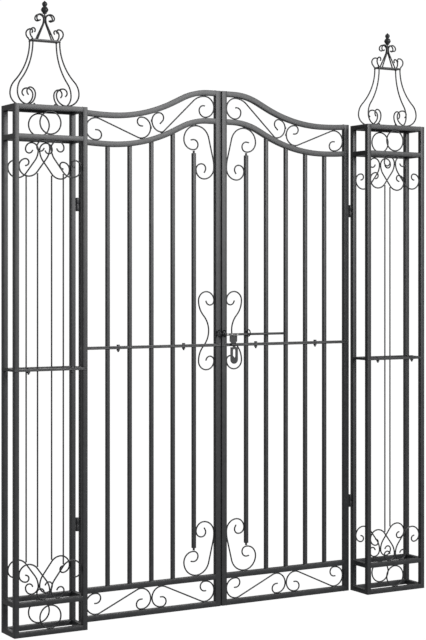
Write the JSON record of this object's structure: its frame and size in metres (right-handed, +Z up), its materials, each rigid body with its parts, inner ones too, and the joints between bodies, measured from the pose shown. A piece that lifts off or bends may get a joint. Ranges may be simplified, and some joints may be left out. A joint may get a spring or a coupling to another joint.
{
  "type": "garden gate",
  "caption": "Double-leaf ornamental steel garden gate: two open scrollwork pillars with finials, two curved-top leaves on lift-off hinges, and a sliding rod latch with a hasp.",
  "frame": {"origin": "on the ground, midway between the two pillars and midway through their depth", "axes": "+X to the right seen from the front, +Y to the back, the way the leaves swing open, +Z up"},
  "size_m": [1.965, 0.13, 2.4632],
  "materials": {
    "tubework": "satin black powder coat",
    "scrollwork": "satin black powder coat on round bar",
    "ironmongery": "satin black powder coat, rubbed bright where it slides",
    "fasteners": "blackened zinc plate"
  },
  "bodies": {
    "pillars": {"left_pillar_posts": "tubework", "left_pillar_upper_rails": "tubework", "left_pillar_lower_rails": "tubework", "left_pillar_flanges": "tubework", "left_pillar_rings": "scrollwork", "left_pillar_upper_scrolls": "scrollwork", "left_pillar_lower_scrolls": "scrollwork", "left_pillar_rods": "scrollwork", "right_pillar_posts": "tubework", "right_pillar_upper_rails": "tubework", "right_pillar_lower_rails": "tubework", "right_pillar_flanges": "tubework", "right_pillar_rings": "scrollwork", "right_pillar_upper_scrolls": "scrollwork", "right_pillar_lower_scrolls": "scrollwork", "right_pillar_rods": "scrollwork", "left_finial_cap": "tubework", "left_finial_scrolls": "scrollwork", "left_finial_sprigs": "scrollwork", "right_finial_cap": "tubework", "right_finial_scrolls": "scrollwork", "right_finial_sprigs": "scrollwork", "pillar_bolts": "fasteners", "pillar_nuts": "fasteners", "finial_collars": "scrollwork", "finial_knobs": "scrollwork", "hinge_pintles": "ironmongery", "hinge_washers": "fasteners"},
    "left_leaf": {"left_hinge_knuckles": "ironmongery", "left_hinge_stile": "tubework", "left_meeting_stile": "tubework", "left_crest_rails": "tubework", "left_lower_rails": "tubework", "left_bars": "tubework", "left_leaf_flanges": "tubework", "left_crest_scrolls": "scrollwork", "left_corner_scrolls": "scrollwork", "left_lyre_scroll": "scrollwork", "left_base_scrolls": "scrollwork", "left_leaf_bolts": "fasteners", "left_leaf_nuts": "fasteners", "bolt_keeper": "ironmongery"},
    "right_leaf": {"right_hinge_knuckles": "ironmongery", "right_hinge_stile": "tubework", "right_meeting_stile": "tubework", "right_crest_rails": "tubework", "right_lower_rails": "tubework", "right_bars": "tubework", "right_leaf_flanges": "tubework", "right_crest_scrolls": "scrollwork", "right_corner_scrolls": "scrollwork", "right_lyre_scroll": "scrollwork", "right_base_scrolls": "scrollwork", "right_leaf_bolts": "fasteners", "right_leaf_nuts": "fasteners", "bolt_guides": "ironmongery", "hasp_bracket": "ironmongery", "hasp_pin": "fasteners"},
    "latch_rod": {"slide_bolt": "ironmongery"},
    "hasp": {"hasp_flap": "ironmongery"}
  },
  "joints": [
    {"name": "left_leaf_swing", "type": "hinge", "parent": "pillars", "child": "left_leaf", "pos_m": [-0.662, 0.055, 0], "axis": [0, 0, 1], "range_deg": [0, 90]},
    {"name": "right_leaf_swing", "type": "hinge", "parent": "pillars", "child": "right_leaf", "pos_m": [0.662, 0.055, 0], "axis": [0, 0, -1], "range_deg": [0, 90]},
    {"name": "bolt_slide", "type": "slide", "parent": "right_leaf", "child": "latch_rod", "axis": [-1, 0, 0], "range_m": [0, 0.084]},
    {"name": "hasp_swing", "type": "hinge", "parent": "right_leaf", "child": "hasp", "pos_m": [0.058, 0.0375, 1.098], "axis": [-1, 0, 0], "range_deg": [0, 120]}
  ]
}
